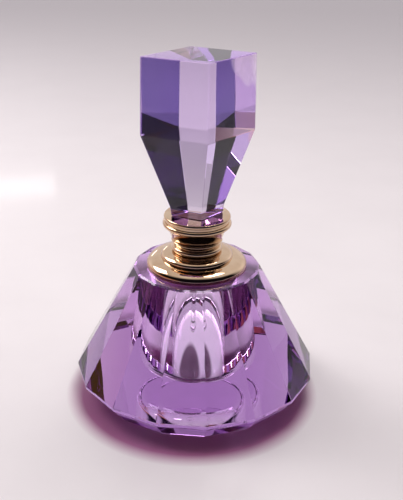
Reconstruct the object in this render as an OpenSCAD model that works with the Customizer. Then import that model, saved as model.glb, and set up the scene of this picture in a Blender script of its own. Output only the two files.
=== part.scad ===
// Cut-crystal dressing-table perfume bottle with a gilt screw collar and a crystal dabber stopper.
// Frame: origin at the centre of the base, +Z up the bottle's axis, millimetres.

/* [Crystal body] */
// Height of the body from the table to its flat top
body_h = 43.8; // [30:0.1:60]
// Radius out to the corners of the girdle, the widest band
girdle_r = 40; // [33:0.5:50]
// Radius out to the corners of the base
base_r = 34.2; // [26:0.1:45]
// Radius out to the corners of the flat top
shoulder_r = 20.3; // [19:0.1:26]
// Height of the lower edge of the girdle band
girdle_z = 7; // [4:0.1:12]
// Height of the girdle band
girdle_band = 0.9; // [0.4:0.1:2]
// Number of facets round the body
facet_count = 16; // [8:2:24]
// Turn of the facets about the axis, in degrees
facet_turn = 5.3; // [0:0.1:22.5]
// Polished bevel on the top and base edges
edge_bevel = 0.45; // [0.1:0.05:0.8]

/* [Scent cavity] */
// Radius of the drilled cavity
cavity_r = 13.7; // [9:0.1:15]
// Height of the cavity floor above the table
cavity_floor = 6; // [4:0.1:10]
// Rounding between the cavity wall and floor
cavity_round = 3; // [0.4:0.1:5]

/* [Collar] */
// Radius of the collar's lower step
collar_r = 16.3; // [14:0.1:19]
// Radius of the collar's upper step
collar_step_r = 11.7; // [9.5:0.1:13]
// Straight rim below each domed step
collar_rim = 0.6; // [0.3:0.1:1]
// Rise of the lower dome above its rim
collar_dome = 2.4; // [1:0.1:3]
// Rise of the upper dome above its rim
collar_step_dome = 1.5; // [0.6:0.05:2.5]
// Width of the flat ring between the upper dome and the neck
collar_flat_w = 2; // [1:0.1:3]
// Thickness of the pressed collar shell
collar_wall = 0.7; // [0.4:0.1:1]

/* [Neck fitting] */
// Outer radius of the neck tube
neck_r = 6; // [5:0.1:7]
// Bore radius of the neck tube
neck_bore_r = 4.9; // [4:0.1:5.5]
// Height of the neck tube above the collar
neck_rise = 6.2; // [4:0.1:9]
// Thickness of the flange that sits on the crystal
flange_t = 0.8; // [0.5:0.1:1.2]
// Depth of the spigot in the mouth of the cavity
spigot_depth = 2.6; // [1.5:0.1:5]

/* [Cap] */
// Wall of the gilt shell outside the liner at the narrowest part of the waist
waist_wall = 0.7; // [0.4:0.05:2]
// How far the waist flares out by the time it meets the rim
flare_out = 2.3; // [1.5:0.1:3.5]
// How far the rim bead stands out from the waist
rim_bead_out = 3.7; // [2.8:0.1:5]
// How far the thin lip above the bead stands out from the waist
lip_out = 3.35; // [2.6:0.05:4.5]
// Height of the cap from its foot to its flat top
cap_h = 12.1; // [10:0.05:15]
// How far the bead at the foot of the cap stands out from the waist
foot_bead_out = 0.8; // [0.4:0.1:2]
// Height of the bead at the foot of the cap
foot_bead_h = 1.8; // [1:0.1:2.5]
// Height of the rim bead
rim_bead_h = 1.6; // [1:0.1:2.5]
// Height of the lip
lip_h = 1.3; // [0.8:0.1:2]
// Height of the cove between the rim bead and the lip
cove_h = 0.75; // [0.3:0.05:1.5]
// Depth of the cove behind the lip
cove_depth = 0.45; // [0.2:0.05:0.8]
// Height of the fine bead on the waist above the cap's foot
line_rise = 3.5; // [2.4:0.1:6]
// Wall of the plastic liner
liner_wall = 0.55; // [0.4:0.05:1]

/* [Dabber] */
// Radius of the dabber rod
rod_r = 1.3; // [1:0.05:2]
// Radius of the ball at the tip of the rod
tip_r = 1.95; // [1.5:0.05:3]
// Height of the tip above the cavity floor
tip_gap = 5.5; // [2:0.1:10]
// Length of the rod inside its plug
rod_grip = 4.5; // [3:0.1:5.5]
// Thickness of the plug's flange
plug_flange_t = 0.9; // [0.6:0.1:1.5]

/* [Stopper crystal] */
// Side of the rhombic block at its flat top
block_side = 21.7; // [17:0.05:28]
// Side of the block at its shoulder, where the taper starts
shoulder_side = 22.2; // [17:0.05:28]
// Blunt corner angle of the rhombus, in degrees
block_corner = 109.5; // [90:0.5:120]
// Height of the straight block
block_h = 23.7; // [15:0.1:35]
// Height of the tapering part
taper_h = 23.95; // [15:0.05:35]
// Side of the rhombus at the foot of the taper
ankle_side = 10.9; // [8:0.1:12]
// Side of the foot where it is cemented
foot_side = 10.4; // [7:0.1:11]
// Height of the foot below the taper
foot_h = 2.8; // [1:0.1:5]
// Turn of the block's long diagonal about the axis, in degrees
block_turn = 12.75; // [0:0.05:90]
// Polished bevel along the crystal's edges
arris = 0.25; // [0.1:0.05:0.6]

/* [Fits] */
// Thickness of each cement layer
cement_t = 0.15; // [0.1:0.05:0.3]
// Radial clearance filled by cement round the spigot
spigot_gap = 0.15; // [0.1:0.05:0.3]
// Gap round a part that turns or lifts out
running_gap = 0.15; // [0.1:0.05:0.3]
// Gap between faces that close on each other
closing_gap = 0.1; // [0.05:0.05:0.3]
// Thickness of the sealing washer
washer_t = 0.7; // [0.5:0.1:1.2]

/* [Hidden] */
$fn = 96;
eps = 0.01;

// Heights, upward from the crystal's top face
flange_z = body_h + cement_t;
collar_z = flange_z;
lower_dome_top = collar_z + collar_rim + collar_dome;
collar_top = lower_dome_top + collar_rim + collar_step_dome;
cap_z = collar_top + running_gap;
cap_top = cap_z + cap_h;
neck_top = collar_top + neck_rise;
washer_z = neck_top + closing_gap;
plug_flange_z = washer_z + washer_t;
liner_ceiling = plug_flange_z + plug_flange_t + running_gap;
liner_top = liner_ceiling + liner_wall;
crystal_z = cap_top + cement_t;
ankle_z = crystal_z + foot_h;
block_z = ankle_z + taper_h;
total_h = block_z + block_h;

// The cap's rim, and the fine bead on its waist
rim_z = cap_top - lip_h - cove_h - rim_bead_h;
line_z = cap_z + line_rise;
line_reach = 0.28;

// Radii that fit inside one another
spigot_r = cavity_r - spigot_gap;
flange_r = collar_r - collar_wall - spigot_gap;
plug_stem_r = neck_bore_r - running_gap;
plug_flange_r = neck_r;
liner_bore_r = neck_r + running_gap;
liner_r = liner_bore_r + liner_wall;
waist_r = liner_r + waist_wall;
flare_r = waist_r + flare_out;
lip_r = waist_r + lip_out;
cove_r = lip_r - cove_depth;
rim_bead_reach = waist_r + rim_bead_out - cove_r;
cavity_mouth = body_h + eps;

// A point at radius r on corner number i of a ring of n corners, turned by turn degrees
function corner(r, z, i, n, turn) = [r * cos(turn + i * 360 / n), r * sin(turn + i * 360 / n), z];

// A closed solid with flat facets through rings, each [radius, height], from the bottom up
module faceted_stack(rings, n, turn) {
    points = [for (ring = rings) for (i = [0 : n - 1]) corner(ring[0], ring[1], i, n, turn)];
    last = len(rings) - 1;
    sides = [for (k = [0 : last - 1]) for (i = [0 : n - 1])
        [k * n + i, (k + 1) * n + i, (k + 1) * n + (i + 1) % n, k * n + (i + 1) % n]];
    floor_face = [for (i = [0 : n - 1]) i];
    roof_face = [for (i = [n - 1 : -1 : 0]) last * n + i];
    polyhedron(points, concat([floor_face], sides, [roof_face]), convexity = 4);
}

// A flat ring between two radii
module washer(outer_r, inner_r, z, t) {
    translate([0, 0, z]) difference() {
        cylinder(r = outer_r, h = t);
        translate([0, 0, -eps]) cylinder(r = inner_r, h = t + 2 * eps);
    }
}

// Points of a quarter ellipse from the rim of a dome to the edge of its flat top
function dome_points(rim_r, top_r, z, rise, steps = 12) =
    [for (i = [0 : steps]) [top_r + (rim_r - top_r) * cos(90 * i / steps), z + rise * sin(90 * i / steps)]];

// Points of a half-round bead that stands out from radius r
function bead_points(r, z, reach, half_h, steps = 12) =
    [for (i = [0 : steps]) [r + reach * cos(-90 + 180 * i / steps), z + half_h * sin(-90 + 180 * i / steps)]];

// Faceted crystal body with a girdle, drilled from the top
module bottle_body() {
    slope = (girdle_r - shoulder_r) / (body_h - girdle_z - girdle_band);
    base_slope = (girdle_r - base_r) / girdle_z;
    color([0.72, 0.5, 0.85, 0.6]) difference() {
        faceted_stack([
            [base_r - edge_bevel, 0],
            [base_r + edge_bevel * base_slope, edge_bevel],
            [girdle_r, girdle_z],
            [girdle_r, girdle_z + girdle_band],
            [shoulder_r + edge_bevel * slope, body_h - edge_bevel],
            [shoulder_r - edge_bevel, body_h]
        ], facet_count, facet_turn);
        rotate_extrude() {
            translate([0, cavity_floor + cavity_round])
                square([cavity_r, cavity_mouth - cavity_floor - cavity_round]);
            translate([0, cavity_floor]) square([cavity_r - cavity_round, cavity_round + eps]);
            intersection() {
                translate([cavity_r - cavity_round, cavity_floor + cavity_round]) circle(r = cavity_round);
                translate([cavity_r - cavity_round, cavity_floor]) square(cavity_round);
            }
        }
    }
}

// Clear cement under the neck fitting's flange
module collar_cement() {
    color([0.9, 0.88, 0.8, 0.7]) washer(collar_r, cavity_r, body_h, cement_t);
}

// Clear cement sleeve round the spigot
module neck_cement() {
    color([0.9, 0.88, 0.8, 0.7]) washer(cavity_r, spigot_r, body_h - spigot_depth, spigot_depth);
}

// Turned brass fitting: spigot in the mouth of the cavity, flange on the crystal, tube for the cap
module neck_fitting() {
    color([0.85, 0.68, 0.36]) difference() {
        union() {
            translate([0, 0, body_h - spigot_depth]) cylinder(r = spigot_r, h = spigot_depth + cement_t);
            translate([0, 0, flange_z]) cylinder(r = flange_r, h = flange_t);
            translate([0, 0, flange_z]) cylinder(r = neck_r, h = neck_top - flange_z);
        }
        translate([0, 0, body_h - spigot_depth - eps])
            cylinder(r = neck_bore_r, h = neck_top - body_h + spigot_depth + 2 * eps);
    }
}

// Section of the collar's outside, from its foot to the hole for the neck
function collar_outline(shrink, foot, hole_r) = concat(
    [[hole_r, foot], [collar_r - shrink, foot]],
    dome_points(collar_r - shrink, collar_step_r - shrink, collar_z + collar_rim, collar_dome - shrink),
    dome_points(collar_step_r - shrink, neck_r + collar_flat_w,
        lower_dome_top + collar_rim, collar_step_dome - shrink),
    [[hole_r, collar_top - shrink]]);

// Polished gilt collar pressed in two domed steps
module collar() {
    color([0.83, 0.68, 0.42]) difference() {
        rotate_extrude() polygon(collar_outline(0, collar_z, neck_r + spigot_gap));
        rotate_extrude() polygon(collar_outline(collar_wall, collar_z - eps, 0));
    }
}

// Glass dabber rod with a ball tip
module dabber_rod() {
    tip_z = cavity_floor + tip_gap + tip_r;
    rod_top = body_h - spigot_depth + rod_grip;
    color([0.85, 0.8, 0.9, 0.7]) union() {
        translate([0, 0, tip_z]) sphere(r = tip_r);
        translate([0, 0, tip_z]) cylinder(r = rod_r, h = rod_top - tip_z);
    }
}

// Plastic plug that closes the neck and grips the rod
module dabber_plug() {
    plug_foot = body_h - spigot_depth;
    color([0.93, 0.92, 0.88]) difference() {
        union() {
            translate([0, 0, plug_foot]) cylinder(r = plug_stem_r, h = plug_flange_z - plug_foot);
            translate([0, 0, plug_flange_z]) cylinder(r = plug_flange_r, h = plug_flange_t);
        }
        translate([0, 0, plug_foot - eps]) cylinder(r = rod_r, h = rod_grip + eps);
    }
}

// Soft washer between the plug's flange and the top of the neck
module seal_washer() {
    color([0.8, 0.8, 0.78]) washer(plug_flange_r, plug_stem_r, washer_z, washer_t);
}

// Moulded liner inside the cap
module cap_liner() {
    color([0.9, 0.89, 0.84]) difference() {
        translate([0, 0, cap_z]) cylinder(r = liner_r, h = liner_top - cap_z);
        translate([0, 0, cap_z - eps]) cylinder(r = liner_bore_r, h = liner_ceiling - cap_z + eps);
    }
}

// Radius of the cap's flaring waist at height z
function flare_at(z) =
    waist_r + flare_out * (z - cap_z - foot_bead_h) / (rim_z - cap_z - foot_bead_h);

// Section of the cap's outside, from its foot to its flat top
function cap_outline() = concat(
    [[0, cap_z]],
    bead_points(waist_r, cap_z + foot_bead_h / 2, foot_bead_out, foot_bead_h / 2),
    bead_points(flare_at(line_z), line_z, line_reach, line_reach),
    [[flare_r, rim_z]],
    bead_points(cove_r, rim_z + rim_bead_h / 2, rim_bead_reach, rim_bead_h / 2),
    bead_points(cove_r, cap_top - lip_h / 2, cove_depth, lip_h / 2),
    [[0, cap_top]]);

// Polished gilt cap with a waist, a rim bead and a thin lip
module cap_shell() {
    color([0.83, 0.68, 0.42]) difference() {
        rotate_extrude() polygon(cap_outline());
        translate([0, 0, cap_z - eps]) cylinder(r = liner_r, h = liner_top - cap_z + eps);
    }
}

// Corners of a rhombus with its long diagonal along X
function rhombus(side) = let (far = side * sin(block_corner / 2), near = side * cos(block_corner / 2))
    [[far, 0], [0, near], [-far, 0], [0, -near]];

// Corners of a rhombus at height z with a small bevel cut across each corner
function bevelled_rhombus(side, z) = let (q = rhombus(side))
    [for (i = [0 : 3]) for (k = [3, 1]) let (along = q[(i + k) % 4] - q[i])
        concat(q[i] + along * arris / norm(along), [z])];

// Clear cement under the crystal's foot
module stopper_cement() {
    color([0.9, 0.88, 0.8, 0.7])
        rotate(block_turn) translate([0, 0, cap_top]) linear_extrude(cement_t) polygon(rhombus(foot_side));
}

// Rhombic crystal block that tapers down to a small foot
module stopper_crystal() {
    rings = [bevelled_rhombus(foot_side, crystal_z), bevelled_rhombus(ankle_side, ankle_z),
             bevelled_rhombus(shoulder_side, block_z), bevelled_rhombus(block_side, total_h - arris),
             bevelled_rhombus(block_side - 2 * arris, total_h)];
    points = [for (ring = rings) for (p = ring) p];
    n = len(rings[0]);
    last = len(rings) - 1;
    sides = [for (k = [0 : last - 1]) for (i = [0 : n - 1])
        [k * n + i, (k + 1) * n + i, (k + 1) * n + (i + 1) % n, k * n + (i + 1) % n]];
    floor_face = [for (i = [0 : n - 1]) i];
    roof_face = [for (i = [n - 1 : -1 : 0]) last * n + i];
    color([0.7, 0.55, 0.85, 0.6]) rotate(block_turn)
        polyhedron(points, concat([floor_face], sides, [roof_face]), convexity = 2);
}

bottle_body();
collar_cement();
neck_cement();
neck_fitting();
collar();
dabber_rod();
dabber_plug();
seal_washer();
cap_liner();
cap_shell();
stopper_cement();
stopper_crystal();
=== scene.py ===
"""Looks for a cut-crystal perfume bottle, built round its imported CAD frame."""

import logging
import math
from dataclasses import dataclass, field
from enum import Enum

import bmesh
import bpy
from mathutils import Matrix, Vector


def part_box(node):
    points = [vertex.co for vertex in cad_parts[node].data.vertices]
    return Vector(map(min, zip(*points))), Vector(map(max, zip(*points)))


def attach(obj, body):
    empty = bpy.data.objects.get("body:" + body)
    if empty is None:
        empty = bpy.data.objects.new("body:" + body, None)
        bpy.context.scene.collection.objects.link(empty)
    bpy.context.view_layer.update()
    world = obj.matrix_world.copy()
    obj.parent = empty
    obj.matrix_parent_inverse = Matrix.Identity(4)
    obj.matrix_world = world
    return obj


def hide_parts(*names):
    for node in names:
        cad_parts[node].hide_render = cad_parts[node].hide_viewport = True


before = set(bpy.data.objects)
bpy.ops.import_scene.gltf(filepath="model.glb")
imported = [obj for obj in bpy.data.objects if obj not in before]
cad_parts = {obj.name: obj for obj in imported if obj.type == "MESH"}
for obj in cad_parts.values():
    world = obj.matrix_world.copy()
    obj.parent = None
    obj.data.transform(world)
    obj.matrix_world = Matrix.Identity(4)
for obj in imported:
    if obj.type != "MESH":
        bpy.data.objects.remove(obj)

LOG = logging.getLogger("perfume_bottle")
MM = 0.001

Point = tuple[float, float, float]
Tint = tuple[float, float, float]
Span = tuple[float, float]
Outline = list[tuple[float, float]]
Ring = list[bmesh.types.BMVert]
Tree = bpy.types.NodeTree
Socket = bpy.types.NodeSocket

# Noise scales, per metre
TURNING_LINES = 6000.0
TONE_DRIFT = 160.0
HANDLING_MARKS = 1400.0
FINE_GRAIN = 3500.0
POLISH_RIPPLE = 55.0
TABLE_MOTTLE = 30.0

# How deep the bumps are, in metres
RIPPLE_DEPTH = 0.01
TURNING_DEPTH = 0.0002
GRAIN_DEPTH = 0.0001

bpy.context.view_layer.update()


# ---------------------------------------------------------------- meshes


class Shading(Enum):
    """How the faces of a piece catch the light."""

    FLAT = "flat"
    TURNED = "turned"


@dataclass
class Profile:
    """A section through a turned piece, drawn as radius and height in millimetres."""

    points: Outline = field(default_factory=list)

    def to(self, radius: float, height: float) -> "Profile":
        """Adds a straight run to a point and returns the profile."""
        self.points.append((radius, height))
        return self

    def arc(
        self,
        centre: tuple[float, float],
        reach: tuple[float, float],
        start: float,
        end: float,
        steps: int = 10,
    ) -> "Profile":
        """Adds part of an ellipse.

        Args:
            centre: Radius and height of the ellipse's centre.
            reach: Half-axes along the radius and the height.
            start: First angle in degrees, 0 pointing outward.
            end: Last angle in degrees.
            steps: Number of straight runs in the arc.

        Returns:
            The profile itself, so that calls chain.
        """
        for i in range(steps + 1):
            angle = math.radians(start + (end - start) * i / steps)
            self.points.append(
                (centre[0] + reach[0] * math.cos(angle), centre[1] + reach[1] * math.sin(angle))
            )
        return self

    def bead(self, radius: float, height: float, reach: float, half: float, steps: int = 14) -> "Profile":
        """Adds a half-round bead that stands out from a radius."""
        return self.arc((radius, height), (reach, half), -90, 90, steps)

    def eased(self, radius: float, height: float, ease: float, *ways: tuple[float, float]) -> "Profile":
        """Adds a corner with its point cut off.

        Args:
            radius: Radius of the corner.
            height: Height of the corner.
            ease: Length cut off along each side.
            ways: Unit steps from the corner back along the run in, then on along the run out.

        Returns:
            The profile itself, so that calls chain.
        """
        for way in ways:
            self.points.append((radius + ease * way[0], height + ease * way[1]))
        return self

    def cleaned(self) -> Outline:
        """Drops points that repeat.

        Returns:
            The points in order, each once.
        """
        kept: Outline = []
        for point in self.points:
            if not kept or math.dist(kept[-1], point) > 1e-5:
                kept.append(point)
        return kept


UP, DOWN, OUT, IN = (0.0, 1.0), (0.0, -1.0), (1.0, 0.0), (-1.0, 0.0)


def link(name: str, mesh: bpy.types.Mesh) -> bpy.types.Object:
    """Puts a mesh in the scene as a named piece.

    Args:
        name: Name of the piece.
        mesh: Its mesh.

    Returns:
        The piece.
    """
    piece = bpy.data.objects.new(name, mesh)
    bpy.context.scene.collection.objects.link(piece)
    return piece


def finish_mesh(name: str, bm: bmesh.types.BMesh, shading: Shading, sharp: float = 32.0) -> bpy.types.Object:
    """Writes a bmesh out as a piece with its shading set.

    Args:
        name: Name of the piece.
        bm: The mesh, which is freed.
        shading: Flat facets, or smooth with crisp edges.
        sharp: Angle in degrees above which a turned edge stays crisp.

    Returns:
        The piece.
    """
    if shading is Shading.TURNED:
        for face in bm.faces:
            face.smooth = True
        for edge in bm.edges:
            if len(edge.link_faces) == 2 and edge.calc_face_angle(0.0) > math.radians(sharp):
                edge.smooth = False
    mesh = bpy.data.meshes.new(name)
    bm.to_mesh(mesh)
    bm.free()
    return link(name, mesh)


def turned(
    name: str, outline: Outline, segments: int = 144, sharp: float = 32.0
) -> bpy.types.Object:
    """Turns a closed outline round the Z axis.

    Args:
        name: Name of the piece.
        outline: Radius and height of each corner in millimetres, closed on itself.
        segments: Number of steps round the axis.
        sharp: Angle in degrees above which an edge stays crisp.

    Returns:
        The turned piece, smooth but for its crisp edges.
    """
    bm = bmesh.new()
    rings = []
    for radius, height in outline:
        if radius < 1e-6:
            rings.append([bm.verts.new((0, 0, height * MM))])
        else:
            rings.append(ring_of(bm, radius, height, segments, 0.0))
    for low, high in zip(rings, rings[1:] + rings[:1]):
        for i in range(segments):
            corners = [
                low[i % len(low)],
                low[(i + 1) % len(low)],
                high[(i + 1) % len(high)],
                high[i % len(high)],
            ]
            unique = list(dict.fromkeys(corners))
            if len(unique) > 2:
                bm.faces.new(unique)
    bmesh.ops.recalc_face_normals(bm, faces=bm.faces)
    return finish_mesh(name, bm, Shading.TURNED, sharp)


def ring_of(bm: bmesh.types.BMesh, radius: float, height: float, count: int, turn: float) -> Ring:
    """Adds the corners of a level ring.

    Args:
        bm: The mesh that the corners go in.
        radius: Radius of the ring in millimetres.
        height: Its level in millimetres.
        count: Number of corners.
        turn: Angle of the first corner in degrees.

    Returns:
        The corners in order.
    """
    return [
        bm.verts.new((
            radius * MM * math.cos(math.radians(turn) + math.tau * i / count),
            radius * MM * math.sin(math.radians(turn) + math.tau * i / count),
            height * MM,
        ))
        for i in range(count)
    ]


def skin(bm: bmesh.types.BMesh, low: Ring, high: Ring) -> list[bmesh.types.BMFace]:
    """Adds faces between two rings with the same number of corners.

    Args:
        bm: The mesh that the faces go in.
        low: Corners of one ring.
        high: Corners of the next ring.

    Returns:
        The faces in order.
    """
    count = len(low)
    return [
        bm.faces.new((low[i], low[(i + 1) % count], high[(i + 1) % count], high[i]))
        for i in range(count)
    ]


# ---------------------------------------------------------------- finishes


def node(tree: Tree, kind: str, **inputs: object) -> bpy.types.Node:
    """Adds a shader node and sets its named inputs.

    Args:
        tree: Node tree that the node goes in.
        kind: Type of the node.
        inputs: Values by input name, with _ for a space.

    Returns:
        The node.
    """
    made = tree.nodes.new(kind)
    for key, value in inputs.items():
        made.inputs[key.replace("_", " ")].default_value = value
    return made


def math_node(tree: Tree, work: str, first: object, second: object) -> Socket:
    """Adds a maths node.

    Args:
        tree: Node tree that the node goes in.
        work: The operation.
        first: A socket or a number.
        second: A socket or a number.

    Returns:
        The result's socket.
    """
    made = tree.nodes.new("ShaderNodeMath")
    made.operation = work
    for slot, value in zip(made.inputs, (first, second)):
        if isinstance(value, Socket):
            tree.links.new(value, slot)
        else:
            slot.default_value = value
    return made.outputs[0]


def blend(tree: Tree, factor: object, first: object, second: object) -> Socket:
    """Mixes two colours.

    Args:
        tree: Node tree that the node goes in.
        factor: Share of the second colour, a socket or a number.
        first: A socket or a colour.
        second: A socket or a colour.

    Returns:
        The mixed colour's socket.
    """
    made = tree.nodes.new("ShaderNodeMix")
    made.data_type = "RGBA"
    for name, value in (("Factor", factor), ("A", first), ("B", second)):
        slot = next(s for s in made.inputs if s.name == name and (name == "Factor" or s.type == "RGBA"))
        if isinstance(value, Socket):
            tree.links.new(value, slot)
        else:
            slot.default_value = value
    return next(s for s in made.outputs if s.type == "RGBA")


def plus(tree: Tree, first: object, second: object) -> Socket:
    """The sum of two values."""
    return math_node(tree, "ADD", first, second)


def times(tree: Tree, first: object, second: object) -> Socket:
    """The product of two values."""
    return math_node(tree, "MULTIPLY", first, second)


def distance(
    tree: Tree,
    x: Socket,
    y: Socket,
    centre: tuple[float, float] = (0.0, 0.0),
    scale: tuple[float, float] = (1.0, 1.0),
) -> Socket:
    """Distance from a centre, across the axis of height.

    Args:
        tree: Node tree that the nodes go in.
        x: Place along X.
        y: Place along Y.
        centre: Place that the distance is measured from.
        scale: Factors on the distance along X and Y.

    Returns:
        The distance's socket.
    """
    across = times(tree, plus(tree, x, -centre[0]), scale[0])
    along = times(tree, plus(tree, y, -centre[1]), scale[1])
    return math_node(tree, "SQRT", plus(tree, times(tree, across, across), times(tree, along, along)), 0.0)


def noise(
    tree: Tree, place: Socket, scale: float, detail: float = 4.0
) -> Socket:
    """Adds noise over a place.

    Args:
        tree: Node tree that the node goes in.
        place: Where the noise is read.
        scale: Fineness of the noise, per metre.
        detail: Number of finer layers.

    Returns:
        The noise value's socket.
    """
    made = node(tree, "ShaderNodeTexNoise", Scale=scale, Detail=detail)
    tree.links.new(place, made.inputs["Vector"])
    return made.outputs["Fac"]


def ranged(tree: Tree, value: Socket, *span: float) -> Socket:
    """Carries a value from one span to another and keeps it inside.

    Args:
        tree: Node tree that the node goes in.
        value: The value's socket.
        span: Start and end of the first span, then of the second.

    Returns:
        The result's socket.
    """
    low, high, start, end = span
    made = node(tree, "ShaderNodeMapRange", From_Min=low, From_Max=high, To_Min=start, To_Max=end)
    tree.links.new(value, made.inputs["Value"])
    return made.outputs["Result"]


def group(
    name: str, colours: tuple[str, ...], numbers: tuple[str, ...], outputs: tuple[str, ...]
) -> tuple[Tree, bpy.types.Node, bpy.types.Node]:
    """Starts a shader node group.

    Args:
        name: Name of the group.
        colours: Names of its colour inputs.
        numbers: Names of its number inputs.
        outputs: Names of its outputs; "Colour" is a colour, the others are numbers.

    Returns:
        The tree, its input node and its output node.
    """
    tree = bpy.data.node_groups.new(name, "ShaderNodeTree")
    for label in colours:
        tree.interface.new_socket(label, in_out="INPUT", socket_type="NodeSocketColor")
    for label in numbers:
        tree.interface.new_socket(label, in_out="INPUT", socket_type="NodeSocketFloat")
    for label in outputs:
        kind = "NodeSocketColor" if label == "Colour" else "NodeSocketFloat"
        tree.interface.new_socket(label, in_out="OUTPUT", socket_type=kind)
    return tree, tree.nodes.new("NodeGroupInput"), tree.nodes.new("NodeGroupOutput")


def turned_wear() -> Tree:
    """Fine turning lines, faint handling marks and a drift of tone over a turned metal.

    Returns:
        The shader node group.
    """
    outputs = ("Colour", "Roughness", "Height")
    tree, given, out = group("turned_wear", ("Bright", "Deep"), ("Polish", "Haze"), outputs)
    place = tree.nodes.new("ShaderNodeTexCoord").outputs["Object"]
    split = tree.nodes.new("ShaderNodeSeparateXYZ")
    tree.links.new(place, split.inputs[0])
    x, y, z = split.outputs
    lines = node(tree, "ShaderNodeCombineXYZ")
    tree.links.new(plus(tree, distance(tree, x, y), z), lines.inputs["X"])
    groove = noise(tree, lines.outputs[0], TURNING_LINES, 2.0)
    drift = ranged(tree, noise(tree, place, TONE_DRIFT, 3.0), 0.35, 0.7, 0.0, 1.0)
    marks = noise(tree, place, HANDLING_MARKS, 5.0)
    colour = blend(tree, drift, given.outputs["Bright"], given.outputs["Deep"])
    hazed = times(tree, ranged(tree, marks, 0.45, 0.75, 0.0, 1.0), given.outputs["Haze"])
    tree.links.new(colour, out.inputs["Colour"])
    tree.links.new(plus(tree, hazed, given.outputs["Polish"]), out.inputs["Roughness"])
    tree.links.new(plus(tree, groove, times(tree, marks, 0.3)), out.inputs["Height"])
    return tree


def speckled() -> Tree:
    """A soft mottle with fine grain, for plastics, cement and the seal.

    Returns:
        The shader node group.
    """
    outputs = ("Colour", "Roughness", "Height")
    tree, given, out = group("speckled", ("Light", "Dark"), ("Scale", "Low", "High"), outputs)
    place = tree.nodes.new("ShaderNodeTexCoord").outputs["Object"]
    coarse = node(tree, "ShaderNodeTexNoise", Detail=4.0)
    tree.links.new(place, coarse.inputs["Vector"])
    tree.links.new(given.outputs["Scale"], coarse.inputs["Scale"])
    grain = noise(tree, place, FINE_GRAIN, 3.0)
    value = plus(tree, times(tree, coarse.outputs["Fac"], 0.7), times(tree, grain, 0.3))
    spread = ranged(tree, value, 0.35, 0.65, 0.0, 1.0)
    tree.links.new(blend(tree, spread, given.outputs["Light"], given.outputs["Dark"]), out.inputs["Colour"])
    step = math_node(tree, "SUBTRACT", given.outputs["High"], given.outputs["Low"])
    tree.links.new(plus(tree, given.outputs["Low"], times(tree, spread, step)), out.inputs["Roughness"])
    tree.links.new(value, out.inputs["Height"])
    return tree


def polish_ripple() -> Tree:
    """The faint ripple that hand polishing leaves on a cut face.

    Returns:
        The shader node group.
    """
    tree, given, out = group("polish_ripple", (), ("Scale",), ("Height",))
    place = tree.nodes.new("ShaderNodeTexCoord").outputs["Object"]
    broad = node(tree, "ShaderNodeTexNoise", Detail=1.0, Roughness=0.3)
    tree.links.new(place, broad.inputs["Vector"])
    tree.links.new(given.outputs["Scale"], broad.inputs["Scale"])
    tree.links.new(broad.outputs["Fac"], out.inputs["Height"])
    return tree


@dataclass(frozen=True)
class Effects:
    """The node groups that the finishes share."""

    wear: Tree
    speckle: Tree
    ripple: Tree


def used(tree: Tree, effect: Tree, **inputs: object) -> bpy.types.Node:
    """Places a node group and sets its named inputs.

    Args:
        tree: Node tree that the node goes in.
        effect: The node group.
        inputs: Values by input name.

    Returns:
        The group's node.
    """
    made = tree.nodes.new("ShaderNodeGroup")
    made.node_tree = effect
    for key, value in inputs.items():
        made.inputs[key].default_value = value
    return made


def bumped(tree: Tree, height: Socket, strength: float, depth: float) -> None:
    """Feeds a height into the shader's normal.

    Args:
        tree: The material's node tree.
        height: The height's socket.
        strength: Strength of the bump, 0 to 1.
        depth: Full height of the bump in metres.
    """
    bump = node(tree, "ShaderNodeBump", Strength=strength, Distance=depth)
    tree.links.new(height, bump.inputs["Height"])
    tree.links.new(bump.outputs["Normal"], tree.nodes["Principled BSDF"].inputs["Normal"])


def blank(name: str, **inputs: object) -> bpy.types.Material:
    """Makes a material and sets its shader's named inputs.

    Args:
        name: Name of the material.
        inputs: Values by input name, with _ for a space.

    Returns:
        The material.
    """
    material = bpy.data.materials.new(name)
    material.use_nodes = True
    shader = material.node_tree.nodes["Principled BSDF"]
    for key, value in inputs.items():
        shader.inputs[key.replace("_", " ")].default_value = value
    return material


@dataclass(frozen=True)
class Crystal:
    """Polished crystal glass, tinted through its depth."""

    name: str
    tint: Tint = (0.545, 0.136, 0.71)
    depth: float = 22.0
    ior: float = 1.52
    ripple: float = 0.012

    def make(self, effects: Effects) -> bpy.types.Material:
        """Builds the crystal's material.

        Args:
            effects: The shared node groups.

        Returns:
            The material.
        """
        clear = (1, 1, 1, 1)
        material = blank(self.name, Base_Color=clear, Transmission_Weight=1.0, Roughness=0.0, IOR=self.ior)
        tree = material.node_tree
        volume = node(tree, "ShaderNodeVolumeAbsorption", Color=(*self.tint, 1), Density=self.depth)
        tree.links.new(volume.outputs["Volume"], tree.nodes["Material Output"].inputs["Volume"])
        effect = used(tree, effects.ripple, Scale=POLISH_RIPPLE)
        bumped(tree, effect.outputs["Height"], self.ripple, RIPPLE_DEPTH)
        return material


@dataclass(frozen=True)
class Metal:
    """Polished metal plate or turned metal."""

    name: str
    bright: Tint = (0.73, 0.55, 0.38)
    deep: Tint = (0.60, 0.42, 0.27)
    polish: float = 0.03
    haze: float = 0.04
    groove: float = 0.02

    def make(self, effects: Effects) -> bpy.types.Material:
        """Builds the metal's material.

        Args:
            effects: The shared node groups.

        Returns:
            The material.
        """
        material = blank(self.name, Metallic=1.0)
        tree = material.node_tree
        shader = tree.nodes["Principled BSDF"]
        effect = used(
            tree,
            effects.wear,
            Bright=(*self.bright, 1),
            Deep=(*self.deep, 1),
            Polish=self.polish,
            Haze=self.haze,
        )
        tree.links.new(effect.outputs["Colour"], shader.inputs["Base Color"])
        tree.links.new(effect.outputs["Roughness"], shader.inputs["Roughness"])
        bumped(tree, effect.outputs["Height"], self.groove, TURNING_DEPTH)
        return material


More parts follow.
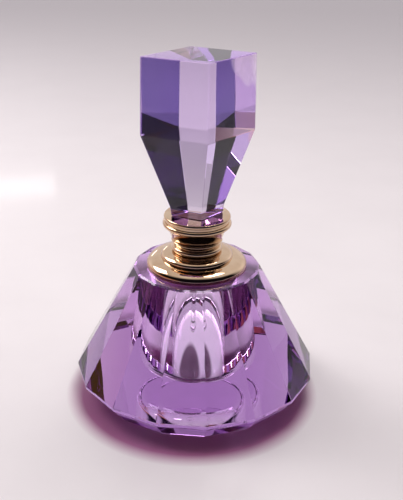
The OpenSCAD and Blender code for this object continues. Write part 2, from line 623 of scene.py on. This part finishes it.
@dataclass(frozen=True)
class Mottled:
    """Moulded plastic, cement or rubber."""

    name: str
    light: Tint
    dark: Tint
    rough: Span = (0.35, 0.5)
    scale: float = 300.0
    grain: float = 0.1

    def make(self, effects: Effects) -> bpy.types.Material:
        """Builds the mottled material.

        Args:
            effects: The shared node groups.

        Returns:
            The material.
        """
        material = blank(self.name)
        tree = material.node_tree
        shader = tree.nodes["Principled BSDF"]
        effect = used(
            tree, effects.speckle, Light=(*self.light, 1), Dark=(*self.dark, 1),
            Scale=self.scale, Low=self.rough[0], High=self.rough[1],
        )
        tree.links.new(effect.outputs["Colour"], shader.inputs["Base Color"])
        tree.links.new(effect.outputs["Roughness"], shader.inputs["Roughness"])
        bumped(tree, effect.outputs["Height"], self.grain, GRAIN_DEPTH)
        return material


# ---------------------------------------------------------------- sub-assemblies


def heights(name: str) -> tuple[float, float]:
    """Lowest and highest level of a CAD node, in millimetres."""
    low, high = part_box(name)
    return low.z / MM, high.z / MM


def reach(name: str) -> float:
    """Outer radius of a round CAD node, in millimetres."""
    low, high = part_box(name)
    return (high.x - low.x) / 2 / MM


def fit(piece: bpy.types.Object, body: str, node_name: str, material: bpy.types.Material) -> None:
    """Gives a piece its body and its material, and hides the CAD node that it stands for.

    Args:
        piece: The piece.
        body: Body that it rides on.
        node_name: CAD node that it stands for.
        material: Its finish.
    """
    piece.data.materials.clear()
    piece.data.materials.append(material)
    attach(piece, body)
    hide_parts(node_name)
    LOG.info("%s rides on %s", piece.name, body)


@dataclass
class CrystalBody:
    """The faceted body with its girdle and drilled cavity."""

    facets: int = 16
    turn: float = 5.3
    girdle_r: float = 40.0
    base_r: float = 34.2
    shoulder_r: float = 20.3
    girdle_z: float = 7.0
    girdle_band: float = 0.9
    edge: float = 0.45
    cavity_r: float = 13.7
    cavity_floor: float = 6.0
    cavity_round: float = 3.0
    arris: float = 0.1
    wall_steps: int = 128

    def build(self, crystal: bpy.types.Material) -> None:
        """Builds the body and dresses it.

        Args:
            crystal: Finish of the body.
        """
        top = heights("bottle_body")[1]
        bm = bmesh.new()
        slope = (self.girdle_r - self.shoulder_r) / (top - self.girdle_z - self.girdle_band)
        base_slope = (self.girdle_r - self.base_r) / self.girdle_z
        levels = [
            (self.base_r - self.edge, 0),
            (self.base_r + self.edge * base_slope, self.edge),
            (self.girdle_r, self.girdle_z),
            (self.girdle_r, self.girdle_z + self.girdle_band),
            (self.shoulder_r + self.edge * slope, top - self.edge),
            (self.shoulder_r - self.edge, top),
        ]
        rings = [ring_of(bm, r, z, self.facets, self.turn) for r, z in levels]
        bm.faces.new(list(reversed(rings[0])))
        for low, high in zip(rings, rings[1:]):
            skin(bm, low, high)
        edges = [e for e in bm.edges if len(e.link_faces) == 2]
        bmesh.ops.bevel(
            bm, geom=edges, offset=self.arris * MM, segments=1, affect="EDGES", profile=0.5,
            clamp_overlap=True,
        )
        self.cavity(bm, top)
        piece = finish_mesh("crystal_body", bm, Shading.FLAT)
        fit(piece, "bottle", "bottle_body", crystal)

    def cavity(self, bm: bmesh.types.BMesh, top: float) -> None:
        """Sinks the smooth cavity into the open top and closes the roof round it.

        Args:
            bm: The body's mesh.
            top: Level of the top in millimetres.
        """
        centre = (self.cavity_r - self.cavity_round, self.cavity_floor + self.cavity_round)
        outline = Profile().to(self.cavity_r, top).to(self.cavity_r, centre[1] + self.edge)
        outline.arc(centre, (self.cavity_round, self.cavity_round), 0, -90, 6)
        rings = [ring_of(bm, r, z, self.wall_steps, self.turn) for r, z in outline.cleaned()]
        walls = []
        for high, low in zip(rings, rings[1:]):
            walls += skin(bm, high, low)
        bm.faces.new(list(reversed(rings[-1])))
        self.roof(bm, self.rim_loop(bm, top), rings[0])
        bmesh.ops.recalc_face_normals(bm, faces=bm.faces)
        for face in walls:
            face.smooth = True
        mouth = set(rings[0])
        for edge in bm.edges:
            if mouth.issuperset(edge.verts):
                edge.smooth = False

    def rim_loop(self, bm: bmesh.types.BMesh, top: float) -> Ring:
        """Finds the corners of the open rim at the top.

        Args:
            bm: The body's mesh.
            top: Level of the top in millimetres.

        Returns:
            The corners in order of angle.
        """
        level = [v for v in bm.verts if abs(v.co.z - top * MM) < 1e-7]
        rim = [v for v in level if v.co.xy.length > (self.cavity_r + 1) * MM]
        return sorted(rim, key=lambda v: math.atan2(v.co.y, v.co.x))

    def roof(self, bm: bmesh.types.BMesh, rim: Ring, circle: Ring) -> None:
        """Closes the flat top between the faceted rim and the round mouth.

        Args:
            bm: The body's mesh.
            rim: Corners of the rim in order of angle.
            circle: Corners of the mouth.
        """
        ordered = sorted(circle, key=lambda v: math.atan2(v.co.y, v.co.x))
        i = j = 0
        total_rim, total_circle = len(rim), len(ordered)

        def angle(v: bmesh.types.BMVert, turns: int) -> float:
            """Angle of a corner after so many whole turns."""
            return math.atan2(v.co.y, v.co.x) + math.tau * turns

        while i < total_rim or j < total_circle:
            a, b = rim[i % total_rim], ordered[j % total_circle]
            next_a = angle(rim[(i + 1) % total_rim], (i + 1) // total_rim)
            next_b = angle(ordered[(j + 1) % total_circle], (j + 1) // total_circle)
            if j >= total_circle or (i < total_rim and next_a <= next_b):
                bm.faces.new((a, rim[(i + 1) % total_rim], b))
                i += 1
            else:
                bm.faces.new((a, ordered[(j + 1) % total_circle], b))
                j += 1


@dataclass
class Collar:
    """The gilt collar, its threaded neck fitting and their cement."""

    step_r: float = 11.7
    rim: float = 0.6
    dome: float = 2.4
    step_dome: float = 1.5
    wall: float = 0.7
    flat_r: float = 8.0
    hole_r: float = 6.15
    neck_r: float = 6.0
    bore_r: float = 4.9
    spigot_r: float = 13.55
    flange: float = 0.8
    spigot: float = 2.6
    cement: float = 0.15
    wet: float = 0.02
    thread_pitch: float = 1.3
    thread_depth: float = 0.28
    thread_start: float = 4.6
    thread_stop: float = 0.5
    rows_per_pitch: int = 10
    thread_fade: float = 3.0
    groove_rise: float = 1.6
    groove_flank: float = 4.0
    step_lift: float = 0.05
    segments: int = 96
    ease: float = 0.12

    def build(self, gilt: bpy.types.Material, brass: bpy.types.Material, cement: bpy.types.Material) -> None:
        """Builds the collar's pieces and dresses them.

        Args:
            gilt: Finish of the collar.
            brass: Finish of the neck fitting.
            cement: Finish of both beds of cement.
        """
        fit(turned("gilt_collar", self.shell()), "bottle", "collar", gilt)
        fit(self.fitting(), "bottle", "neck_fitting", brass)
        bed = turned("flange_cement", self.flange_cement(), self.segments)
        fit(bed, "bottle", "collar_cement", cement)
        sleeve = turned("spigot_cement", self.spigot_cement(), self.segments)
        fit(sleeve, "bottle", "neck_cement", cement)

    def flange_cement(self) -> Outline:
        """Section of the cement under the flange, wetting the crystal's top.

        Returns:
            Radius and height of each corner in millimetres.
        """
        foot, top = heights("collar_cement")
        outer_r = reach("collar_cement")
        inner_r = self.spigot_r + self.cement
        return [(inner_r, foot - self.wet), (outer_r, foot - self.wet), (outer_r, top), (inner_r, top)]

    def spigot_cement(self) -> Outline:
        """Section of the cement round the spigot, wetting the cavity's wall.

        Returns:
            Radius and height of each corner in millimetres.
        """
        foot, top = heights("neck_cement")
        outer_r = self.spigot_r + self.cement + self.wet
        return [(self.spigot_r, foot), (outer_r, foot), (outer_r, top), (self.spigot_r, top)]

    def shell(self) -> Outline:
        """Section of the pressed collar.

        Returns:
            Radius and height of each corner in millimetres.
        """
        foot, top = heights("collar")
        outer_r = reach("collar")
        step_z = foot + self.rim + self.dome
        dome_r = self.step_r - self.flat_r
        outline = Profile().eased(outer_r, foot, self.ease, IN, UP).to(outer_r, foot + self.rim)
        outline.arc((self.step_r, foot + self.rim), (outer_r - self.step_r, self.dome), 0, 86, 20)
        outline.to(self.step_r, step_z + self.step_lift).to(self.step_r, step_z + self.rim)
        outline.arc((self.flat_r, step_z + self.rim), (dome_r, self.step_dome), 0, 90, 16)
        outline.eased(self.hole_r, top, self.ease, OUT, DOWN).to(self.hole_r, top - self.wall)
        outline.to(self.flat_r, top - self.wall)
        inner = (dome_r - self.wall, self.step_dome - self.wall)
        outline.arc((self.flat_r, step_z + self.rim), inner, 90, 0, 8)
        outline.to(self.step_r - self.wall, step_z - self.wall)
        inner = (outer_r - self.step_r, self.dome - self.wall)
        outline.arc((self.step_r - self.wall, foot + self.rim), inner, 86, 0, 8)
        return outline.to(outer_r - self.wall, foot).cleaned()

    def fitting(self) -> bpy.types.Object:
        """Turns the fitting: a spigot, a flange and a tube with a helical thread.

        Returns:
            The fitting.
        """
        foot, top = heights("neck_fitting")
        flange_r = reach("neck_fitting")
        flange_z = foot + self.spigot + self.cement
        tube_z = flange_z + self.flange
        count = self.segments
        outline = Profile().eased(self.bore_r, foot, self.ease, UP, OUT)
        outline.eased(self.spigot_r, foot, self.ease, IN, UP)
        outline.to(self.spigot_r, flange_z).eased(flange_r, flange_z, self.ease, IN, UP)
        outline.eased(flange_r, tube_z, self.ease, DOWN, IN).to(self.neck_r, tube_z)
        bm = bmesh.new()
        rings = [ring_of(bm, r, z, count, 0.0) for r, z in outline.cleaned()]
        rings += self.thread(bm, tube_z + self.thread_start, top - self.thread_stop)
        lip = Profile().eased(self.neck_r, top, self.ease, DOWN, IN)
        lip.eased(self.bore_r, top, self.ease, OUT, DOWN)
        rings += [ring_of(bm, radius, z, count, 0.0) for radius, z in lip.points]
        for low, high in zip(rings, rings[1:] + rings[:1]):
            skin(bm, low, high)
        bmesh.ops.recalc_face_normals(bm, faces=bm.faces)
        return finish_mesh("threaded_fitting", bm, Shading.TURNED, 40.0)

    def thread(self, bm: bmesh.types.BMesh, start: float, end: float) -> list[Ring]:
        """Cuts a helical groove into the tube.

        Args:
            bm: The mesh that the rings go in.
            start: Lowest level of the thread.
            end: Highest level of the thread.

        Returns:
            Rings of corners from the lowest level up.
        """
        rings = []
        rows = round((end - start) / self.thread_pitch * self.rows_per_pitch)
        for row in range(rows + 1):
            z = start + (end - start) * row / rows
            fade = min(1.0, self.thread_fade * row / rows, self.thread_fade * (rows - row) / rows)
            ring = ring_of(bm, 1.0, z, self.segments, 0.0)
            for i, corner in enumerate(ring):
                turn = (z / self.thread_pitch - i / self.segments) % 1.0
                groove = min(1.0, max(0.0, self.groove_rise - self.groove_flank * abs(turn - 0.5)))
                corner.co.xy *= self.neck_r - self.thread_depth * fade * groove
            rings.append(ring)
        return rings


@dataclass
class Cap:
    """The gilt cap and its moulded liner."""

    waist_r: float = 7.4
    flare_r: float = 9.7
    foot_bead: float = 1.8
    foot_bead_r: float = 8.2
    rim_bead: float = 1.6
    cove: float = 0.75
    cove_depth: float = 0.45
    lip: float = 1.3
    lip_r: float = 10.75
    line_rise: float = 3.5
    line_reach: float = 0.28
    bore_r: float = 6.15
    wall: float = 0.55
    ease: float = 0.1

    def build(self, gilt: bpy.types.Material, plastic: bpy.types.Material) -> None:
        """Builds the cap's pieces and dresses them.

        Args:
            gilt: Finish of the cap.
            plastic: Finish of the liner.
        """
        fit(turned("gilt_cap", self.shell()), "cap", "cap_shell", gilt)
        fit(turned("moulded_liner", self.liner(), 96), "cap", "cap_liner", plastic)

    def shell(self) -> Outline:
        """Section of the cap.

        Returns:
            Radius and height of each corner in millimetres.
        """
        foot, top = heights("cap_shell")
        rim_r = reach("cap_shell")
        ceiling = heights("cap_liner")[1]
        rim_z = top - self.lip - self.cove - self.rim_bead
        cove_r = self.lip_r - self.cove_depth
        line_z = foot + self.line_rise
        flare = (self.flare_r - self.waist_r) / (rim_z - foot - self.foot_bead)
        line_r = self.waist_r + flare * (line_z - foot - self.foot_bead)
        bore_r = self.bore_r + self.wall
        outline = Profile().to(bore_r, foot)
        half = self.foot_bead / 2
        outline.bead(self.waist_r, foot + half, self.foot_bead_r - self.waist_r, half)
        outline.bead(line_r, line_z, self.line_reach, self.line_reach, 8)
        outline.to(self.flare_r, rim_z)
        outline.bead(cove_r, rim_z + self.rim_bead / 2, rim_r - cove_r, self.rim_bead / 2)
        outline.bead(cove_r, top - self.lip / 2, self.lip_r - cove_r, self.lip / 2)
        return outline.to(0, top).to(0, ceiling).to(bore_r, ceiling).cleaned()

    def liner(self) -> Outline:
        """Section of the liner inside the cap.

        Returns:
            Radius and height of each corner in millimetres.
        """
        foot, top = heights("cap_liner")
        ceiling = top - self.wall
        outer_r = self.bore_r + self.wall
        outline = Profile().eased(self.bore_r, foot, self.ease, UP, OUT)
        outline.eased(outer_r, foot, self.ease, IN, UP)
        outline.eased(outer_r, top, self.ease, DOWN, IN).to(0, top).to(0, ceiling)
        return outline.eased(self.bore_r, ceiling, self.ease, IN, DOWN).cleaned()


@dataclass
class Dabber:
    """The glass rod with its ball tip, its plug and the seal."""

    rod_r: float = 1.3
    tip_r: float = 1.95
    grip: float = 4.5
    stem_r: float = 4.75
    flange: float = 0.9
    rib: float = 0.12
    ribs: int = 4
    rib_start: float = 1.4
    rib_pitch: float = 1.5
    groove_half: float = 0.5
    groove_floor: float = 0.3
    ease: float = 0.12

    def build(self, glass: bpy.types.Material, plastic: bpy.types.Material, seal: bpy.types.Material) -> None:
        """Builds the dabber's pieces and dresses them.

        Args:
            glass: Finish of the rod.
            plastic: Finish of the plug.
            seal: Finish of the sealing washer.
        """
        foot, top = heights("dabber_rod")
        centre = foot + self.tip_r
        meet = math.degrees(math.asin(self.rod_r / self.tip_r))
        outline = Profile().arc((0, centre), (self.tip_r, self.tip_r), -90, 90 - meet, 24)
        outline.eased(self.rod_r, top, self.ease, DOWN, IN).to(0, top)
        fit(turned("glass_rod", outline.cleaned(), 48), "wand", "dabber_rod", glass)
        fit(turned("ribbed_plug", self.plug(), 96), "wand", "dabber_plug", plastic)
        fit(turned("seal_ring", self.seal(), 96), "wand", "seal_washer", seal)

    def plug(self) -> Outline:
        """Section of the plug, ribbed where it seals the neck's bore.

        Returns:
            Radius and height of each corner in millimetres.
        """
        foot, top = heights("dabber_plug")
        flange_r = reach("dabber_plug")
        flange_z = top - self.flange
        outline = Profile().to(self.rod_r, foot + self.ease).to(self.rod_r + self.ease, foot)
        outline.eased(self.stem_r, foot, self.ease, IN, UP)
        for level in range(self.ribs):
            z = foot + self.rib_start + self.rib_pitch * level
            outline.to(self.stem_r, z - self.groove_half).to(self.stem_r - self.rib, z - self.groove_floor)
            outline.to(self.stem_r - self.rib, z + self.groove_floor).to(self.stem_r, z + self.groove_half)
        outline.to(self.stem_r, flange_z).eased(flange_r, flange_z, self.ease, IN, UP)
        outline.eased(flange_r, top, self.ease, DOWN, IN).to(0, top)
        return outline.to(0, foot + self.grip).to(self.rod_r, foot + self.grip).cleaned()

    def seal(self) -> Outline:
        """Section of the seal, its edges cut off.

        Returns:
            Radius and height of each corner in millimetres.
        """
        foot, top = heights("seal_washer")
        outer_r = reach("seal_washer")
        outline = Profile().eased(self.stem_r, foot, self.ease, UP, OUT)
        outline.eased(outer_r, foot, self.ease, IN, UP).eased(outer_r, top, self.ease, DOWN, IN)
        return outline.eased(self.stem_r, top, self.ease, OUT, DOWN).cleaned()


@dataclass
class Stopper:
    """The rhombic crystal block on the cap."""

    turn: float = 12.75
    corner: float = 109.5
    top_side: float = 21.7
    shoulder_side: float = 22.2
    ankle_side: float = 10.9
    foot_side: float = 10.4
    block: float = 23.7
    foot_h: float = 2.8
    arris: float = 0.22
    wet: float = 0.02

    def rhombus(self, bm: bmesh.types.BMesh, side: float, height: float) -> Ring:
        """Adds the corners of a level rhombus.

        Args:
            bm: The mesh that the corners go in.
            side: Length of a side in millimetres.
            height: Its level in millimetres.

        Returns:
            The corners in order.
        """
        far = side * math.sin(math.radians(self.corner / 2))
        near = side * math.cos(math.radians(self.corner / 2))
        spin = Matrix.Rotation(math.radians(self.turn), 3, "Z")
        return [
            bm.verts.new(spin @ Vector((x, y, height)) * MM)
            for x, y in ((far, 0), (0, near), (-far, 0), (0, -near))
        ]

    def build(self, crystal: bpy.types.Material, cement: bpy.types.Material) -> None:
        """Builds the block and its cement and dresses them.

        Args:
            crystal: Finish of the block.
            cement: Finish of the cement under it.
        """
        foot, top = heights("stopper_crystal")
        levels = [
            (self.foot_side, foot),
            (self.ankle_side, foot + self.foot_h),
            (self.shoulder_side, top - self.block),
            (self.top_side, top),
        ]
        bm = bmesh.new()
        self.stack(bm, levels)
        edges = list(bm.edges)
        bmesh.ops.bevel(bm, geom=edges, offset=self.arris * MM, segments=2, affect="EDGES", profile=0.5)
        block = finish_mesh("stopper_block", bm, Shading.FLAT)
        fit(block, "cap", "stopper_crystal", crystal)
        bed = bmesh.new()
        low, high = heights("stopper_cement")
        side = self.foot_side - 2 * self.arris
        self.stack(bed, [(side, low), (side, high + self.wet)])
        fit(finish_mesh("foot_cement", bed, Shading.FLAT), "cap", "stopper_cement", cement)

    def stack(self, bm: bmesh.types.BMesh, levels: Outline) -> None:
        """Closes a solid through level rhombi.

        Args:
            bm: The mesh that the solid goes in.
            levels: Side and height of each rhombus, from the lowest up.
        """
        rings = [self.rhombus(bm, side, z) for side, z in levels]
        bm.faces.new(list(reversed(rings[0])))
        for low, high in zip(rings, rings[1:]):
            skin(bm, low, high)
        bm.faces.new(rings[-1])
        bmesh.ops.recalc_face_normals(bm, faces=bm.faces)


# ---------------------------------------------------------------- studio


@dataclass(frozen=True)
class SoftLight:
    """A soft rectangular light that faces a point, in metres and watts."""

    name: str
    place: Point
    aim: Point
    size: tuple[float, float]
    power: float
    colour: Tint
    seen_through_glass: bool = True

    def hang(self) -> None:
        """Hangs the light."""
        data = bpy.data.lights.new(self.name, "AREA")
        data.shape = "RECTANGLE"
        data.size, data.size_y = self.size
        data.energy = self.power
        data.color = self.colour
        lamp = bpy.data.objects.new(self.name, data)
        lamp.location = self.place
        lamp.rotation_euler = (Vector(self.aim) - Vector(self.place)).to_track_quat("-Z", "Y").to_euler()
        lamp.visible_transmission = self.seen_through_glass
        bpy.context.scene.collection.objects.link(lamp)


LIGHTS = (
    SoftLight(
        name="softbox",
        place=(0.08, 0.16, 0.52),
        aim=(0.0, 0.0, 0.0),
        size=(0.24, 0.20),
        power=1.25,
        colour=(1.0, 0.97, 0.95),
    ),
    SoftLight(
        name="window",
        place=(-0.34, 1.1, 0.345),
        aim=(-0.1, 0.17, 0.0),
        size=(0.2, 0.03),
        power=0.1,
        colour=(1.0, 0.98, 0.97),
    ),
    SoftLight(
        name="doorway",
        place=(-0.45, 0.25, 0.5),
        aim=(0.0, 0.0, 0.03),
        size=(0.3, 0.3),
        power=2.2,
        colour=(1.0, 0.97, 0.96),
        seen_through_glass=False,
    ),
)


@dataclass(frozen=True)
class Laminate:
    """The pale satin table top, with painted shade, a painted shadow and a painted pool of glowing light
    under the bottle.
    """

    light: tuple[float, ...] = (0.79, 0.745, 0.765, 1)
    dull: tuple[float, ...] = (0.76, 0.715, 0.735, 1)
    # Painted shade colours: the table is darker toward the far edge, the sides and the front.
    far: tuple[float, ...] = (0.56, 0.505, 0.54, 1)
    painted_side_shade: tuple[float, ...] = (0.30, 0.15, 0.26, 1)
    front: tuple[float, ...] = (0.37, 0.345, 0.60, 1)
    # Painted shadow colour: the dark maroon shadow round the base, painted into the table's colour.
    painted_shadow: tuple[float, ...] = (0.36, 0.12, 0.26, 1)
    # Painted light: the table glows under the cavity as emission, with a painted dim oval of shade in the
    # glow.
    painted_glow: tuple[float, ...] = (0.95, 0.9, 1.0, 1)
    painted_shadow_centre: tuple[float, float] = (-0.001, -0.006)
    painted_glow_centre: tuple[float, float] = (-0.001, 0.009)
    shade_centre: tuple[float, float] = (-0.0015, -0.005)
    shade_scale: tuple[float, float] = (175.0, 125.0)
    mottle_span: Span = (0.3, 0.7)
    painted_far_shade_span: Span = (0.06, 0.8)
    painted_side_shade_span: Span = (0.35, 0.6)
    painted_front_shade_span: Span = (-0.09, -0.26)
    painted_shadow_span: Span = (0.037, 0.0425)
    painted_glow_span: Span = (0.016, 0.024)
    shade_span: Span = (0.85, 1.1)
    painted_glow_strength: float = 0.8
    shade_strength: float = 0.05

    def make(self) -> bpy.types.Material:
        """Builds the laminate: mottled, with painted shade toward the far edge, the front and the sides, a
        painted shadow round the base and a painted glow under the cavity.

        Returns:
            The material.
        """
        material = blank("pale_laminate", Roughness=0.38, Coat_Weight=0.25, Coat_Roughness=0.09)
        tree = material.node_tree
        place = tree.nodes.new("ShaderNodeTexCoord").outputs["Object"]
        split = tree.nodes.new("ShaderNodeSeparateXYZ")
        tree.links.new(place, split.inputs[0])
        x, y, _ = split.outputs
        mottle = ranged(tree, noise(tree, place, TABLE_MOTTLE, 5.0), *self.mottle_span, 0.0, 1.0)
        colour = blend(tree, mottle, self.light, self.dull)
        # Painted shade: darker toward the far edge, the sides and the front.
        colour = blend(tree, ranged(tree, y, *self.painted_far_shade_span, 0.0, 1.0), colour, self.far)
        side_shade_mask = ranged(tree, math_node(tree, "ABSOLUTE", x, 0.0), *self.painted_side_shade_span, 0.0, 1.0)
        colour = blend(tree, side_shade_mask, colour, self.painted_side_shade)
        colour = blend(tree, ranged(tree, y, *self.painted_front_shade_span, 0.0, 1.0), colour, self.front)
        # Painted shadow: a dark maroon ring of colour round the base stands in for the tinted shadow of the
        # light through the crystal.
        under = ranged(tree, distance(tree, x, y, self.painted_shadow_centre), *self.painted_shadow_span, 1.0, 0.0)
        colour = blend(tree, under, colour, self.painted_shadow)
        shader = tree.nodes["Principled BSDF"]
        tree.links.new(colour, shader.inputs["Base Color"])
        # Painted light: the table glows under the cavity. The glow stands in for light that the crystal
        # brings down onto it.
        shader.inputs["Emission Color"].default_value = self.painted_glow
        tree.links.new(self.painted_light_pool(tree, x, y), shader.inputs["Emission Strength"])
        return material

    def painted_light_pool(
        self, tree: Tree, x: Socket, y: Socket
    ) -> Socket:
        """Strength of the painted light pool under the cavity, emission on the table, with a painted dim oval
        of shade in it.

        Args:
            tree: The laminate's node tree.
            x: Place along X.
            y: Place along Y.

        Returns:
            The strength's socket.
        """
        pool = distance(tree, x, y, self.painted_glow_centre)
        light = ranged(tree, pool, *self.painted_glow_span, self.painted_glow_strength, 0.0)
        # Painted shade: a dim oval inside the painted glow.
        shade = distance(tree, x, y, self.shade_centre, self.shade_scale)
        return times(tree, light, ranged(tree, shade, *self.shade_span, self.shade_strength, 1.0))


@dataclass
class Studio:
    """The table, the lights, the surroundings and the camera, in metres and degrees."""

    distance: float = 0.254
    height: float = 0.1642
    pitch: float = 24.46
    roll: float = 0.9
    heading: float = -0.344
    lens: float = 61.84
    table_half: float = 4.0
    table_drop: float = 0.0001
    horizon: tuple[float, ...] = (0.86, 0.79, 0.86, 1)
    wall: tuple[float, ...] = (1.15, 1.08, 1.12, 1)
    dim_room: tuple[float, ...] = (0.005, 0.004, 0.008, 1)
    ceiling: tuple[float, ...] = (0.8, 0.76, 0.77, 1)
    warm_band: tuple[float, ...] = (0.75, 0.33, 0.14, 1)
    horizon_span: Span = (0.12, 0.4)
    depth_span: Span = (0.0, 0.6)
    ceiling_lean: float = 0.6
    ceiling_span: Span = (0.6, 0.9)
    warm_side: Span = (-0.9, -0.55)
    warm_height: Span = (0.1, 0.2)

    def build(self) -> None:
        """Sets the table, the lights, the surroundings and the camera."""
        self.table()
        for light in LIGHTS:
            light.hang()
        self.surroundings()
        self.camera()

    def table(self) -> None:
        """Lays a pale table top."""
        bm = bmesh.new()
        bmesh.ops.create_grid(bm, x_segments=2, y_segments=2, size=self.table_half)
        piece = finish_mesh("table", bm, Shading.FLAT)
        piece.location.z = -self.table_drop
        piece.data.materials.append(Laminate().make())

    def surroundings(self) -> None:
        """Sets a bright ceiling and far wall, a dim room behind the camera and a warm band at one side."""
        world = bpy.data.worlds.new("room")
        world.use_nodes = True
        bpy.context.scene.world = world
        tree = world.node_tree
        tree.nodes.clear()
        split = tree.nodes.new("ShaderNodeSeparateXYZ")
        tree.links.new(tree.nodes.new("ShaderNodeTexCoord").outputs["Generated"], split.inputs[0])
        x, y, z = split.outputs
        far_side = blend(tree, ranged(tree, z, *self.horizon_span, 0.0, 1.0), self.horizon, self.wall)
        room = blend(tree, ranged(tree, y, *self.depth_span, 0.0, 1.0), self.dim_room, far_side)
        rise = plus(tree, z, times(tree, y, self.ceiling_lean))
        lofty = blend(tree, ranged(tree, rise, *self.ceiling_span, 0.0, 1.0), room, self.ceiling)
        side = ranged(tree, x, *self.warm_side, 1.0, 0.0)
        low = ranged(tree, z, *self.warm_height, 1.0, 0.0)
        colour = blend(tree, times(tree, side, low), lofty, self.warm_band)
        shade = tree.nodes.new("ShaderNodeBackground")
        out = tree.nodes.new("ShaderNodeOutputWorld")
        tree.links.new(colour, shade.inputs["Color"])
        tree.links.new(shade.outputs["Background"], out.inputs["Surface"])

    def camera(self) -> None:
        """Stands the camera in front of the bottle."""
        data = bpy.data.cameras.new("camera")
        data.lens = self.lens
        data.clip_start = 0.01
        camera = bpy.data.objects.new("camera", data)
        turn = Matrix.Rotation(math.radians(self.heading), 4, "Z")
        tilt = Matrix.Rotation(math.radians(90 - self.pitch), 4, "X")
        roll = Matrix.Rotation(math.radians(self.roll), 4, "Z")
        camera.matrix_world = Matrix.Translation((0, -self.distance, self.height)) @ turn @ tilt @ roll
        bpy.context.scene.collection.objects.link(camera)
        bpy.context.scene.camera = camera


BODY_CRYSTAL = Crystal("purple_crystal")
BLOCK_CRYSTAL = Crystal("stopper_crystal_purple", tint=(0.50, 0.10, 0.86))
ROD_GLASS = Crystal("clear_glass", tint=(0.9, 0.9, 1.0), depth=2.0, ior=1.5)
GILT = Metal("gilt")
BRASS = Metal("turned_brass", (0.80, 0.58, 0.28), (0.62, 0.42, 0.18), polish=0.18, haze=0.15, groove=0.15)
PLASTIC = Mottled("white_plastic", (0.86, 0.85, 0.81), (0.78, 0.77, 0.72))
SEAL = Mottled("grey_seal", (0.55, 0.55, 0.53), (0.40, 0.40, 0.39), (0.6, 0.85), scale=900.0, grain=0.3)
CEMENT = Mottled("amber_cement", (0.42, 0.17, 0.09), (0.26, 0.09, 0.06), (0.3, 0.5), scale=500.0)


def dress_bottle() -> None:
    """Builds every sub-assembly with its finishes."""
    effects = Effects(turned_wear(), speckled(), polish_ripple())
    gilt = GILT.make(effects)
    brass = BRASS.make(effects)
    plastic = PLASTIC.make(effects)
    seal = SEAL.make(effects)
    cement = CEMENT.make(effects)
    CrystalBody().build(BODY_CRYSTAL.make(effects))
    Collar().build(gilt, brass, cement)
    Cap().build(gilt, plastic)
    Dabber().build(ROD_GLASS.make(effects), plastic, seal)
    Stopper().build(BLOCK_CRYSTAL.make(effects), cement)


def main() -> None:
    """Builds the bottle and its studio."""
    logging.basicConfig(level=logging.INFO, format="%(name)s: %(message)s")
    dress_bottle()
    Studio().build()
    bpy.context.scene.view_settings.view_transform = "Standard"
    cycles = bpy.context.scene.cycles
    cycles.max_bounces = 24
    cycles.transmission_bounces = 24
    cycles.glossy_bounces = 12


if __name__ == "__main__":
    main()
